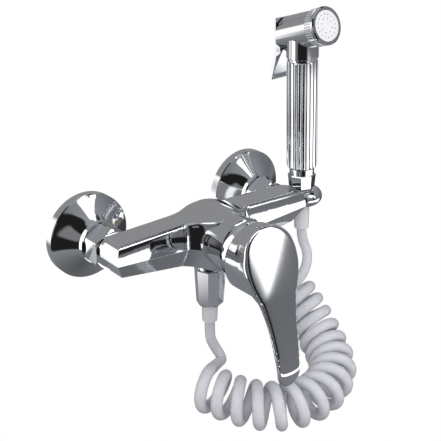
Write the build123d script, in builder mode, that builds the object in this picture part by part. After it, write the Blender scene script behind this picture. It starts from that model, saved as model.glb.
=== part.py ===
# Wall mounted bidet shower mixer with a hand spray on a curly hose.
# X runs along the wall from the left inlet to the right one, +Y goes into the wall, Z is up.
# The origin is the left inlet's axis on the finished wall. "Out" is the distance from the wall.
from build123d import *
import os
from math import ceil, cos, pi, radians, sin, sqrt

os.makedirs("parts", exist_ok=True)

# Wall fittings
inlet_spacing = 150.0
mid_x = inlet_spacing / 2
inlet_thread_radius = 20.955 / 2
inlet_thread_length = 14.0
inlet_bore = 6.0
union_waist_radius = 9.6
union_waist_out = 12.0
swivel_thread_radius = 13.1
swivel_thread_out = 29.5
escutcheon_radius = 32.2
escutcheon_rim = 7.0
escutcheon_out = 21.3
escutcheon_neck_radius = 15.9
escutcheon_wall = 1.2
union_nut_flats = 28.0
union_nut_corner = 15.9
union_nut_lip = 3.6
washer_thickness = 1.8
flange_thickness = 2.8
flange_radius = 12.9
nipple_radius = 10.2
nipple_bore = 7.0
nipple_depth = 6.3
thread_play = 0.1
slide_play = 0.05
seat_gap = 0.2
filter_length = 7.0
filter_wall = 1.0
filter_hole_radius = 0.7

# Mixer body
body_back = 38.0
bar_depth = 25.0
bar_top = 13.3
bar_bottom = -12.2
bar_crease = -0.2
bar_middle_top = 14.9
bar_middle_bottom = -19.6
bar_middle_crease = -4.0
bevel_in = 7.0
front_lean = 1.9
bar_axis_out = body_back + bar_depth / 2
bar_front = body_back + bar_depth
bar_end = bar_depth / 2
edge_round = 3.5
corner_round = 1.2
socket_radius = bar_top + 0.1
socket_taper = 10.0
barrel_shoulder_out = body_back + 6.0
barrel_shoulder_radius = 21.5
barrel_back_radius = 15.5
barrel_waist_out = body_back + 24.0
barrel_waist_radius = 20.4
seam_out = body_back + 54.5
seam_radius = 22.5
water_bore = 5.5
water_bore_z = 1.0
peg_x = 12.0
peg_z = -4.0
peg_radius = 1.5
peg_length = 1.5
port_radius = 3.2
port_x = 7.2
inlet_port_z = 5.5
outlet_port_z = -8.5
outlet_out = body_back + 15.3
outlet_bore = 5.0
outlet_boss_radius = 10.6
outlet_boss_bottom = bar_bottom - 16.8
holder_screw_radius = 1.5
holder_screw_depth = 6.0
holder_screw_head_radius = 2.6

# Cartridge
cartridge_radius = 17.3
cavity_radius = cartridge_radius + 0.3
cavity_floor_out = seam_out - 23.5
nut_cavity_radius = cavity_radius + 1.7
nut_seat_out = seam_out - 7.5
base_back_out = cavity_floor_out + 0.3
base_thickness = 4.0
seal_height = 1.3
disc_thickness = 3.0
fixed_disc_radius = cartridge_radius - 2.8
moving_disc_radius = fixed_disc_radius - 3.5
moving_disc_thickness = 3.5
carrier_radius = moving_disc_radius - 0.5
carrier_thickness = 4.2
turret_radius = cartridge_radius - 4.9
turret_neck_radius = turret_radius - 1.6
turret_length = 9.4
pivot_out = seam_out - 1.5
pivot_pin_radius = 1.5
spindle_width = 8.0
spindle_front_out = pivot_out + 21.0
spindle_ball_radius = 2.6
spindle_ball_reach = 8.0
spindle_slot = 20.0
housing_nose_radius = turret_radius + 2.0
nut_front_out = nut_seat_out + 12.0
dome_radius = nut_cavity_radius + 2.3
dome_wall = 1.6
dome_front_out = pivot_out + 13.0

# Lever
skirt_gap = 0.4
skirt_edge_out = pivot_out + 6.6
skirt_edge_slope = 0.12
skirt_radius = dome_radius + 1.4
rim_out = pivot_out + 24.0
rim_radius = skirt_radius + 1.5
lever_top_z = 24.5
lever_tip_z = -88.8
tip_width = 9.84
tip_radius = tip_width + 1.0
face_top_out = rim_out - 0.8
face_middle_z = -28.0
face_middle_out = rim_out + 17.2
face_end_z = -77.5
face_end_out = rim_out + 30.8
plate_thickness = 4.6
plate_heel_z = -26.5
plate_heel_out = rim_out + 12.0
chin_bottom = -21.4
chin_round = 4.5
chin_side = (21.3, -10.0)
chin_corner = (18.4, chin_bottom)
tip_slope = 7.0
tip_facet_out = face_end_out - 1.5
tip_cut_rise = 14.0
tip_cut_reach = 20.0
lever_boss_radius = 7.2
screw_radius = 2.5
screw_out = pivot_out + 15.5
screw_length = 6.0
screw_plug_length = 4.0
screw_plug_top = chin_bottom + screw_plug_length + 0.2

# Outlet and hose ends
hose_nut_top = outlet_boss_bottom - 0.3
hose_nut_bottom = hose_nut_top - 31.0
hose_nut_top_radius = 12.1
hose_nut_bottom_radius = 10.4
outlet_thread_radius = 8.3
outlet_nipple_top = outlet_boss_bottom + 7.5
outlet_nipple_bottom = outlet_boss_bottom - 17.0
tail_flange_radius = outlet_thread_radius - 0.2
tail_barb_radius = 3.2
tail_barb_drop = 5.7
tail_bore = 1.8
collar_top_radius = 6.3
collar_bottom_radius = 5.8
collar_bottom = hose_nut_bottom - 14.5
hose_radius = 4.0
coil_tube_radius = 4.35
coil_radius = 14.3
coil_phase = 60.0

# Handset and its holder
handset_x = 173.3
handset_out = 47.0
lean_side = -0.0257
lean_back = 0.0242
ring_middle = 2.0
ring_half_height = 6.0
ring_radius = 16.2
ring_bore = 7.4
ring_seat_radius = 9.2
ring_slot = 9.6
grip_nut_bottom = ring_middle + ring_half_height + 0.3
grip_nut_top = grip_nut_bottom + 12.5
grip_nut_bottom_radius = 10.1
grip_nut_top_radius = 11.1
upper_collar_bottom = -26.0
upper_collar_taper = 15.0
grip_bottom = grip_nut_top + 5.2
grip_top = grip_bottom + 85.8
grip_radius = 12.0
grip_core_radius = 8.0
grip_core_bore = 5.5
flute_count = 24
flute_radius = 1.1
inlet_neck_radius = 9.7
shoulder_radius = grip_radius - 0.6
shoulder_bottom = grip_top + 0.2
head_neck_bottom = shoulder_bottom + 1.6
head_neck_radius = grip_radius + 0.3
spray_height = shoulder_bottom + 22.0
spray_tilt = 17.0
head_radius = 13.3
head_back = 15.6
head_back_floor = shoulder_bottom + 11.5
head_corner_round = 7.0
head_front = 16.5
spigot_front = head_front + 5.5
spigot_radius = head_radius - 1.9
chamber_radius = 8.0
collar_radius = head_radius + 0.7
collar_rim_front = spigot_front + 5.0
knurl_front = head_front + 7.1
knurl_count = 48
spray_plate_radius = collar_radius - 1.7
spray_plate_thickness = 1.6
spray_hole_radius = 0.55
outer_hole_ring = 8.5
inner_hole_ring = 5.3
outer_hole_count = 16
inner_hole_count = 8
stem_radius = 1.6
stem_ball_radius = 2.8
valve_radius = 5.6
valve_front = head_front - 7.9
seat_thickness = 2.4
valve_travel = 2.5
valve_spring_radius = 3.3
valve_spring_wire = 0.4
valve_spring_pitch = 1.9
trigger_pivot_height = shoulder_bottom + 7.0
trigger_pivot_back = head_neck_radius + 2.3
trigger_half_width = 12.0
trigger_wall = 1.2
trigger_tail_back = head_back + 1.0
trigger_tail_top = trigger_pivot_height + 23.5
trigger_bend = trigger_pivot_height + 2.5
trigger_end_back = trigger_tail_back + 7.0
trigger_end = trigger_pivot_height - 24.0
trigger_flange = 3.0
trigger_pin_radius = 1.2
trigger_hole_radius = 2.1
trigger_lug_radius = 2.1
trigger_lug_width = 8.0


def wall_section(x):
    """Plane through an inlet's or the mixer's axis: local x is the distance out, local y is up."""
    return Plane(origin=(x, 0, 0), x_dir=(0, -1, 0), z_dir=(-1, 0, 0))


def wall_axis(x):
    return Axis((x, 0, 0), (0, -1, 0))


def facing_out(x, out):
    """Plane parallel to the wall: local x is X, local y is Z, and it extrudes away from the wall."""
    return Plane(origin=(x, -out, 0), x_dir=(1, 0, 0), z_dir=(0, -1, 0))


def add_tube(plane, outer, length, bore=0.0):
    with BuildSketch(plane) as ring:
        Circle(outer)
        if bore:
            Circle(bore, mode=Mode.SUBTRACT)
    extrude(ring.sketch, amount=length)


def cut_hole(plane, radius, depth):
    with BuildSketch(plane) as opening:
        Circle(radius)
    extrude(opening.sketch, amount=depth, mode=Mode.SUBTRACT)


def save(part, name):
    part.label = name
    export_step(part, f"parts/{name}.step")


washer_out = swivel_thread_out + washer_thickness
flange_out = washer_out + flange_thickness
union_nut_back = escutcheon_out + 0.3
union_nut_front = body_back - seat_gap

# Wall unions, escutcheons, nuts, washers, filters and inlet nipples, one set for each inlet
for side, inlet_x in (("left", 0.0), ("right", inlet_spacing)):
    with BuildPart() as wall_union:
        add_tube(facing_out(inlet_x, -inlet_thread_length), inlet_thread_radius, inlet_thread_length)
        add_tube(facing_out(inlet_x, 0), union_waist_radius, union_waist_out)
        add_tube(
            facing_out(inlet_x, union_waist_out),
            swivel_thread_radius,
            swivel_thread_out - union_waist_out,
        )
        cut_hole(
            facing_out(inlet_x, -inlet_thread_length),
            inlet_bore,
            inlet_thread_length + swivel_thread_out,
        )
    save(wall_union.part, f"{side}_wall_union")

    neck_bore = swivel_thread_radius + thread_play
    with BuildPart() as escutcheon:
        with BuildSketch(wall_section(inlet_x)):
            with BuildLine():
                Polyline(
                    (0, escutcheon_radius - escutcheon_wall),
                    (0, escutcheon_radius),
                    (escutcheon_rim - 0.6, escutcheon_radius),
                    (escutcheon_rim, escutcheon_radius - 0.6),
                )
                ThreePointArc(
                    (escutcheon_rim, escutcheon_radius - 0.6),
                    (escutcheon_rim + 5.3, (escutcheon_radius + escutcheon_neck_radius) / 2 - 0.4),
                    (escutcheon_out - 2.3, escutcheon_neck_radius + 0.6),
                )
                Polyline(
                    (escutcheon_out - 2.3, escutcheon_neck_radius + 0.6),
                    (escutcheon_out, escutcheon_neck_radius),
                    (escutcheon_out, neck_bore),
                    (escutcheon_out - 2.0, neck_bore),
                    (escutcheon_out - 3.4, escutcheon_neck_radius - 0.6),
                )
                ThreePointArc(
                    (escutcheon_out - 3.4, escutcheon_neck_radius - 0.6),
                    (escutcheon_rim + 4.0, (escutcheon_radius + escutcheon_neck_radius) / 2 - 1.2),
                    (escutcheon_rim - 0.9, escutcheon_radius - escutcheon_wall),
                )
                Line(
                    (escutcheon_rim - 0.9, escutcheon_radius - escutcheon_wall),
                    (0, escutcheon_radius - escutcheon_wall),
                )
            make_face()
        revolve(axis=wall_axis(inlet_x))
    save(escutcheon.part, f"{side}_escutcheon")

    with BuildPart() as union_nut:
        with BuildSketch(facing_out(inlet_x, union_nut_back)):
            RegularPolygon(union_nut_flats / 2, 6, major_radius=False, rotation=30)
        extrude(amount=union_nut_front - union_nut_back)
        with BuildSketch(wall_section(inlet_x)):
            with BuildLine():
                Polyline(
                    (union_nut_back, 0),
                    (union_nut_back, union_nut_corner - 1.6),
                    (union_nut_back + 2.0, union_nut_corner),
                    (union_nut_front - 1.2, union_nut_corner),
                    (union_nut_front, union_nut_corner - 1.6),
                    (union_nut_front, 0),
                    close=True,
                )
            make_face()
        revolve(axis=wall_axis(inlet_x), mode=Mode.INTERSECT)
        cut_hole(
            facing_out(inlet_x, union_nut_back),
            swivel_thread_radius + thread_play,
            union_nut_front - union_nut_lip - union_nut_back,
        )
        cut_hole(facing_out(inlet_x, union_nut_back), nipple_radius + thread_play, 20)
    save(union_nut.part, f"{side}_union_nut")

    with BuildPart() as washer:
        add_tube(
            facing_out(inlet_x, swivel_thread_out), flange_radius - 0.3, washer_thickness, nipple_bore
        )
    save(washer.part, f"{side}_union_washer")

    with BuildPart() as nipple:
        add_tube(facing_out(inlet_x, washer_out), flange_radius, flange_thickness)
        add_tube(facing_out(inlet_x, flange_out), nipple_radius, body_back + nipple_depth - flange_out)
        cut_hole(facing_out(inlet_x, washer_out), nipple_bore, 20)
    save(nipple.part, f"{side}_inlet_nipple")

    with BuildPart() as inlet_filter:
        add_tube(facing_out(inlet_x, washer_out), nipple_bore - slide_play, filter_length)
        cut_hole(
            facing_out(inlet_x, washer_out), nipple_bore - filter_wall, filter_length - filter_wall
        )
        with BuildSketch(facing_out(inlet_x, washer_out)):
            for ring, holes in ((2.4, 6), (4.6, 10)):
                with PolarLocations(ring, holes):
                    Circle(filter_hole_radius)
        extrude(amount=filter_length, mode=Mode.SUBTRACT)
    save(inlet_filter.part, f"{side}_inlet_filter")


# Mixer body: one brass casting, a bar with bevelled lower edges and a waisted barrel for the cartridge
def bar_profile(x, top, front, crease, bottom, bevel_front):
    with BuildSketch(wall_section(x)) as profile:
        with BuildLine():
            Polyline((body_back, bottom), (body_back, top), (front - front_lean, top))
            ThreePointArc(
                (front - front_lean, top),
                (front - front_lean / 4, (top + crease) / 2),
                (front, crease),
            )
            Polyline((front, crease), (bevel_front, bottom), (body_back, bottom))
        make_face()
        fillet([v for v in profile.vertices() if v.Y > top - 0.01], edge_round)
        fillet([v for v in profile.vertices() if v.Y < crease + 0.01], corner_round)
    return profile.sketch


# The bar's end is a round socket at the back, and its corners come out towards the front
with BuildPart() as end_limit:
    with BuildSketch(wall_section(0)):
        with BuildLine():
            Polyline(
                (body_back - 1, 0),
                (body_back - 1, socket_radius),
                (body_back + 3, socket_radius),
                (body_back + 3 + socket_taper, socket_radius + 0.6 * socket_taper),
                (bar_front + 1, socket_radius + 0.6 * socket_taper),
                (bar_front + 1, 0),
                close=True,
            )
        make_face()
    revolve(axis=wall_axis(0))
    with BuildSketch(Plane.XY.offset(-mid_x)):
        with Locations((mid_x / 2, -bar_axis_out)):
            Rectangle(mid_x, 2 * bar_depth)
    extrude(amount=2 * mid_x)

flare_start = mid_x - 31.0
bar_end_sizes = (bar_top, bar_front, bar_crease, bar_bottom, bar_front - bevel_in)
bar_middle_sizes = (
    bar_middle_top,
    bar_front,
    bar_middle_crease,
    bar_middle_bottom,
    bar_front - bevel_in,
)
with BuildPart() as bar_half:
    loft([bar_profile(-bar_end, *bar_end_sizes), bar_profile(flare_start, *bar_middle_sizes)], ruled=True)
    with BuildSketch(Plane.XZ.offset(body_back - 1)):
        with BuildLine():
            Polyline(
                (-bar_end, bar_crease),
                (-bar_end, 2 * bar_bottom - bar_crease),
                (-bar_end + 2 * bevel_in, 2 * bar_bottom - bar_crease),
                close=True,
            )
        make_face()
        with BuildLine():
            round_start = (-bar_end + 0.6 * front_lean, bar_top - edge_round)
            round_end = (-bar_end + 0.8 * front_lean + edge_round, bar_top + 0.1)
            ThreePointArc(
                (-bar_end, bar_crease),
                (-bar_end + 0.15 * front_lean, (round_start[1] + bar_crease) / 2),
                round_start,
            )
            TangentArc(round_start, round_end, tangent=(0.25, 1))
            Polyline(
                round_end,
                (round_end[0], bar_top + 3),
                (-bar_end - 1, bar_top + 3),
                (-bar_end - 1, bar_crease),
                (-bar_end, bar_crease),
            )
        make_face()
    extrude(amount=bar_depth + 2, mode=Mode.SUBTRACT)
    add(end_limit.part, mode=Mode.INTERSECT)

# How the bar swells into the barrel: the way along it, the rise of the top, the front's way forward,
# the drops of the crease and of the bottom, and the depth of the bevel
flare_steps = [
    (6.0, 0.3, 1.2, 0.6, 0.6, 6.2),
    (11.0, 0.9, 5.5, 1.2, 1.0, 5.5),
    (15.0, 2.1, 12.0, 1.8, 1.4, 5.0),
    (19.0, 3.7, 18.0, 2.4, 1.6, 5.0),
    (25.0, 5.0, 20.0, 2.6, 1.2, 5.0),
    (31.0, 5.2, 20.0, 2.6, 0.9, 5.0),
]
with BuildPart() as flare:
    loft(
        [
            bar_profile(flare_start, *bar_middle_sizes),
            *(
                bar_profile(
                    flare_start + along,
                    bar_middle_top + rise,
                    bar_front + forward,
                    bar_middle_crease - crease_drop,
                    bar_middle_bottom - drop,
                    bar_front + forward - bevel,
                )
                for along, rise, forward, crease_drop, drop, bevel in flare_steps
            ),
        ]
    )

with BuildPart() as mixer_body:
    for half in (bar_half.part, flare.part):
        add(half)
        add(half.mirror(Plane(origin=(mid_x, 0, 0), x_dir=(0, 1, 0), z_dir=(1, 0, 0))))
    with BuildSketch(wall_section(mid_x)):
        with BuildLine():
            Line((body_back, 0), (body_back, barrel_back_radius))
            ThreePointArc(
                (body_back, barrel_back_radius),
                (body_back + 1.8, barrel_shoulder_radius - 1.9),
                (barrel_shoulder_out, barrel_shoulder_radius),
            )
            ThreePointArc(
                (barrel_shoulder_out, barrel_shoulder_radius),
                (barrel_waist_out, barrel_waist_radius),
                (seam_out, seam_radius),
            )
            Line((seam_out, seam_radius), (seam_out, 0))
            Line((seam_out, 0), (body_back, 0))
        make_face()
    revolve(axis=wall_axis(mid_x))
    with BuildSketch(Plane.XY.offset(outlet_boss_bottom)):
        with Locations((mid_x, -outlet_out)):
            Circle(outlet_boss_radius)
    extrude(amount=-outlet_boss_bottom - 10)

    # Cartridge cavity with the thread for its retaining nut
    cut_hole(facing_out(mid_x, cavity_floor_out), cavity_radius, seam_out - cavity_floor_out)
    cut_hole(facing_out(mid_x, nut_seat_out), nut_cavity_radius, seam_out - nut_seat_out)

    # Water ways from both inlets to the cavity floor
    for side_sign, inlet_x in ((1, 0.0), (-1, inlet_spacing)):
        cut_hole(
            facing_out(inlet_x, body_back), nipple_radius + slide_play, nipple_depth + seat_gap
        )
        cut_hole(facing_out(inlet_x, body_back), nipple_bore, bar_depth / 2 + 5)
        along = Plane(
            origin=(inlet_x, -bar_axis_out, water_bore_z), x_dir=(0, 1, 0), z_dir=(side_sign, 0, 0)
        )
        cut_hole(along, water_bore, mid_x - port_x + 1.0)
        port_plane = Plane(
            origin=(mid_x - side_sign * port_x, -bar_axis_out, inlet_port_z),
            x_dir=(1, 0, 0),
            z_dir=(0, -1, 0),
        )
        cut_hole(port_plane, port_radius, cavity_floor_out - bar_axis_out)

    # Mixed water from the cavity floor down to the outlet boss
    outlet_plane = Plane(origin=(mid_x, -outlet_out, outlet_port_z), x_dir=(1, 0, 0), z_dir=(0, -1, 0))
    cut_hole(outlet_plane, port_radius, cavity_floor_out - outlet_out)
    with BuildSketch(Plane.XY.offset(outlet_boss_bottom)):
        with Locations((mid_x, -outlet_out)):
            Circle(outlet_bore)
    extrude(amount=outlet_port_z - outlet_boss_bottom + 3, mode=Mode.SUBTRACT)
    with BuildSketch(Plane.XY.offset(outlet_boss_bottom)):
        with Locations((mid_x, -outlet_out)):
            Circle(outlet_thread_radius + slide_play)
    extrude(amount=outlet_nipple_top - outlet_boss_bottom + seat_gap, mode=Mode.SUBTRACT)

    # Blind holes for the cartridge's pegs, and the tapped hole for the holder's screw
    for sign in (-1, 1):
        peg_plane = Plane(
            origin=(mid_x + sign * peg_x, -cavity_floor_out, peg_z), x_dir=(1, 0, 0), z_dir=(0, 1, 0)
        )
        cut_hole(peg_plane, peg_radius + thread_play, peg_length + 0.5)
    holder_face_x = inlet_spacing + bar_end
    screw_plane = Plane(
        origin=(holder_face_x + 1, -handset_out, ring_middle), x_dir=(0, 1, 0), z_dir=(-1, 0, 0)
    )
    cut_hole(screw_plane, holder_screw_radius + slide_play, holder_screw_depth + seat_gap)
save(mixer_body.part, "mixer_body")

# Cartridge, from the cavity floor outwards
base_front_out = base_back_out + base_thickness
with BuildPart() as cartridge_base:
    add_tube(facing_out(mid_x, base_back_out), cartridge_radius, base_thickness)
    for sign in (-1, 1):
        peg_plane = Plane(
            origin=(mid_x + sign * peg_x, -base_back_out, peg_z), x_dir=(1, 0, 0), z_dir=(0, 1, 0)
        )
        add_tube(peg_plane, peg_radius, base_back_out - cavity_floor_out + peg_length)
    port_centres = ((-port_x, inlet_port_z), (port_x, inlet_port_z), (0, outlet_port_z))
    seal_inner, seal_outer = port_radius + 0.3, port_radius + 1.9
    with BuildSketch(facing_out(mid_x, base_back_out)):
        with Locations(*port_centres):
            Circle(seal_outer + slide_play)
            Circle(seal_inner - slide_play, mode=Mode.SUBTRACT)
    extrude(amount=seal_height - (base_back_out - cavity_floor_out), mode=Mode.SUBTRACT)
    with BuildSketch(facing_out(mid_x, base_back_out)):
        with Locations(*port_centres):
            Circle(port_radius)
    extrude(amount=base_thickness, mode=Mode.SUBTRACT)
save(cartridge_base.part, "cartridge_base")

with BuildPart() as port_seals:
    for x, z in port_centres:
        with BuildSketch(facing_out(mid_x, cavity_floor_out)):
            with Locations((x, z)):
                Circle(seal_outer)
                Circle(seal_inner, mode=Mode.SUBTRACT)
        extrude(amount=seal_height)
save(port_seals.part, "cartridge_port_seals")

fixed_disc_front = base_front_out + disc_thickness
with BuildPart() as fixed_disc:
    add_tube(facing_out(mid_x, base_front_out), fixed_disc_radius, disc_thickness)
    with BuildSketch(facing_out(mid_x, base_front_out)):
        with Locations(*port_centres):
            Circle(port_radius - 0.2)
    extrude(amount=disc_thickness, mode=Mode.SUBTRACT)
save(fixed_disc.part, "ceramic_fixed_disc")

moving_disc_front = fixed_disc_front + moving_disc_thickness
with BuildPart() as moving_disc:
    add_tube(facing_out(mid_x, fixed_disc_front), moving_disc_radius, moving_disc_thickness)
    with BuildSketch(facing_out(mid_x, fixed_disc_front)):
        SlotCenterToCenter(6, 9)
    extrude(amount=moving_disc_thickness - 1.5, mode=Mode.SUBTRACT)
save(moving_disc.part, "ceramic_moving_disc")

ball_out = pivot_out - spindle_ball_reach
with BuildPart() as disc_carrier:
    add_tube(facing_out(mid_x, moving_disc_front), carrier_radius, carrier_thickness)
    with BuildSketch(facing_out(mid_x, ball_out - spindle_ball_radius - 0.1)):
        Rectangle(2 * spindle_ball_radius + 0.4, 2 * spindle_ball_radius + 0.3)
    extrude(amount=10, mode=Mode.SUBTRACT)
save(disc_carrier.part, "disc_carrier")

turret_back = moving_disc_front + carrier_thickness + 0.3
turret_step = turret_back + turret_length - 2.2
with BuildPart() as turret:
    add_tube(facing_out(mid_x, turret_back), turret_radius, turret_step - turret_back)
    neck_length = turret_back + turret_length - turret_step
    add_tube(facing_out(mid_x, turret_step), turret_neck_radius, neck_length)
    with BuildSketch(facing_out(mid_x, turret_back)):
        Rectangle(spindle_width + 0.4, spindle_slot)
    extrude(amount=turret_length, mode=Mode.SUBTRACT)
    pin_plane = Plane(origin=(mid_x - 20, -pivot_out, 0), x_dir=(0, -1, 0), z_dir=(1, 0, 0))
    cut_hole(pin_plane, pivot_pin_radius + 0.02, 40)
save(turret.part, "cartridge_turret")

with BuildPart() as pivot_pin:
    pin_length = 2 * (turret_neck_radius - 0.4)
    add_tube(
        Plane(origin=(mid_x - pin_length / 2, -pivot_out, 0), x_dir=(0, -1, 0), z_dir=(1, 0, 0)),
        pivot_pin_radius,
        pin_length,
    )
save(pivot_pin.part, "spindle_pivot_pin")

with BuildPart() as spindle:
    with BuildSketch(facing_out(mid_x, pivot_out - 4.0)):
        Rectangle(spindle_width, spindle_width)
    extrude(amount=spindle_front_out - pivot_out + 4.0)
    chamfer(spindle.faces().sort_by(Axis.Y)[0].edges(), 0.8)
    add_tube(facing_out(mid_x, ball_out), 2.1, spindle_ball_reach - 3.5)
    with Locations((mid_x, -ball_out, 0)):
        Sphere(spindle_ball_radius)
    cut_hole(
        Plane(origin=(mid_x - 20, -pivot_out, 0), x_dir=(0, -1, 0), z_dir=(1, 0, 0)),
        pivot_pin_radius + 0.05,
        40,
    )
save(spindle.part, "lever_spindle")

housing_front = turret_step + 1.4
with BuildPart() as housing:
    with BuildSketch(wall_section(mid_x)):
        with BuildLine():
            Polyline(
                (base_front_out, fixed_disc_radius + 0.2),
                (base_front_out, cartridge_radius),
                (nut_seat_out - seat_gap, cartridge_radius),
                (nut_seat_out - seat_gap, housing_nose_radius),
                (housing_front, housing_nose_radius),
                (housing_front, turret_neck_radius + 0.15),
                (turret_step + 0.15, turret_neck_radius + 0.15),
                (turret_step + 0.15, turret_radius + slide_play),
                (turret_back - 0.1, turret_radius + slide_play),
                (turret_back - 0.1, fixed_disc_radius + 0.2),
                close=True,
            )
        make_face()
    revolve(axis=wall_axis(mid_x))
save(housing.part, "cartridge_housing")

with BuildPart() as cartridge_nut:
    add_tube(
        facing_out(mid_x, nut_seat_out),
        nut_cavity_radius - slide_play,
        nut_front_out - nut_seat_out,
        housing_nose_radius + thread_play,
    )
    with BuildSketch(facing_out(mid_x, nut_front_out - 2.0)):
        with PolarLocations(nut_cavity_radius - 2, 6):
            Rectangle(8, 3)
    extrude(amount=3, mode=Mode.SUBTRACT)
save(cartridge_nut.part, "cartridge_nut")


def sphere_radius_at(out, radius):
    return sqrt(radius**2 - (out - pivot_out) ** 2)


with BuildPart() as dome:
    dome_mid_out = (seam_out + dome_front_out) / 2
    inner_dome = dome_radius - dome_wall
    with BuildSketch(wall_section(mid_x)):
        with BuildLine():
            Line(
                (seam_out, nut_cavity_radius + thread_play),
                (seam_out, sphere_radius_at(seam_out, dome_radius)),
            )
            ThreePointArc(
                (seam_out, sphere_radius_at(seam_out, dome_radius)),
                (dome_mid_out, sphere_radius_at(dome_mid_out, dome_radius)),
                (dome_front_out, sphere_radius_at(dome_front_out, dome_radius)),
            )
            Line(
                (dome_front_out, sphere_radius_at(dome_front_out, dome_radius)),
                (dome_front_out, sphere_radius_at(dome_front_out, inner_dome)),
            )
            ThreePointArc(
                (dome_front_out, sphere_radius_at(dome_front_out, inner_dome)),
                (nut_front_out + 3.2, sphere_radius_at(nut_front_out + 3.2, inner_dome)),
                (nut_front_out + 0.3, sphere_radius_at(nut_front_out + 0.3, inner_dome)),
            )
            Polyline(
                (nut_front_out + 0.3, sphere_radius_at(nut_front_out + 0.3, inner_dome)),
                (nut_front_out + 0.3, nut_cavity_radius + thread_play),
                (seam_out, nut_cavity_radius + thread_play),
            )
        make_face()
    revolve(axis=wall_axis(mid_x))
save(dome.part, "dome_ring")


# Lever: a hollow skirt over the dome, a shield shaped front plate and the web behind it
def shield_outline():
    Spline(
        (0, lever_top_z),
        (11.5, lever_top_z - 2.2),
        (20.0, 15.0),
        (23.0, 2.0),
        (21.8, -11.0),
        (17.3, -23.0),
        (13.9, -37.0),
        tangents=[(1, 0), (-0.18, -1)],
    )
    Spline(
        (13.9, -37.0),
        (12.2, -51.0),
        (11.0, -65.0),
        (tip_width, lever_tip_z + tip_width),
        tangents=[(-0.18, -1), (0, -1)],
    )
    ThreePointArc(
        (tip_width, lever_tip_z + tip_width),
        (tip_width * cos(radians(45)), lever_tip_z + tip_width - tip_width * sin(radians(45))),
        (0, lever_tip_z),
    )
    mirror(about=Plane.YZ)


with BuildPart() as front_shape:
    with BuildSketch(facing_out(mid_x, seam_out)):
        with BuildLine():
            shield_outline()
        make_face()
    extrude(amount=60)

with BuildPart() as lever_plate:
    rear_end_out = face_end_out - plate_thickness
    with BuildSketch(wall_section(mid_x)):
        with BuildLine():
            ThreePointArc(
                (face_top_out, lever_top_z + 1),
                (face_middle_out, face_middle_z),
                (face_end_out, face_end_z),
            )
            Polyline(
                (face_end_out, face_end_z),
                (face_end_out + 3.0, lever_tip_z - 1),
                (rear_end_out + 1.2, lever_tip_z - 1),
                (rear_end_out, face_end_z),
            )
            Spline(
                (rear_end_out, face_end_z),
                (rear_end_out - 5.0, (face_end_z + plate_heel_z) / 2),
                (plate_heel_out, plate_heel_z),
            )
            Polyline(
                (plate_heel_out, plate_heel_z),
                (rim_out - 5.0, 0),
                (face_top_out - plate_thickness, lever_top_z + 1),
                (face_top_out, lever_top_z + 1),
            )
        make_face()
    extrude(amount=30, both=True)
    add(front_shape.part, mode=Mode.INTERSECT)
    # The facet at the tip, with a round upper edge: its outline rises steeply as it comes forward
    with BuildSketch(facing_out(mid_x, tip_facet_out)):
        with BuildLine():
            tip_bottom_z = lever_tip_z - 0.6
            tip_middle_z = tip_bottom_z + tip_radius
            ThreePointArc((-tip_radius, tip_middle_z), (0, tip_bottom_z), (tip_radius, tip_middle_z))
            Polyline(
                (tip_radius, tip_middle_z),
                (tip_radius + 3, tip_middle_z + tip_cut_rise),
                (tip_radius + tip_cut_reach, tip_middle_z + tip_cut_rise),
                (tip_radius + tip_cut_reach, lever_tip_z - 3 * tip_cut_reach),
                (-tip_radius - tip_cut_reach, lever_tip_z - 3 * tip_cut_reach),
                (-tip_radius - tip_cut_reach, tip_middle_z + tip_cut_rise),
                (-tip_radius - 3, tip_middle_z + tip_cut_rise),
                (-tip_radius, tip_middle_z),
            )
        make_face()
    extrude(amount=35, dir=(0, -1, tip_slope), mode=Mode.SUBTRACT)

with BuildPart() as lever_chin:
    with BuildSketch(facing_out(mid_x, skirt_edge_out - 3.0)) as chin_outline:
        with BuildLine():
            Polyline((0, 10), (skirt_radius - 0.3, 0), chin_side, chin_corner, (0, chin_bottom))
            mirror(about=Plane.YZ)
        make_face()
        fillet([v for v in chin_outline.vertices() if v.Y < chin_bottom + 0.01 and abs(v.X) > 1], chin_round)
    extrude(amount=plate_heel_out - skirt_edge_out + 2.0)
    with BuildSketch(wall_section(mid_x)):
        with BuildLine():
            ThreePointArc(
                (skirt_edge_out - 1.0, -9),
                (skirt_edge_out + 0.8, -18.2),
                (skirt_edge_out + 6.4, chin_bottom),
            )
            Polyline(
                (skirt_edge_out + 6.4, chin_bottom),
                (skirt_edge_out + 6.4, chin_bottom - 5),
                (skirt_edge_out - 9, chin_bottom - 5),
                (skirt_edge_out - 9, 11),
                (skirt_edge_out + 1.4, 11),
                (skirt_edge_out - 1.0, -9),
            )
        make_face()
        with BuildLine():
            Polyline(
                (rim_out + 1, 12),
                (rim_out + 11, chin_bottom - 1),
                (rim_out + 30, chin_bottom - 1),
                (rim_out + 30, 12),
                close=True,
            )
        make_face()
    extrude(amount=30, both=True, mode=Mode.SUBTRACT)

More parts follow.
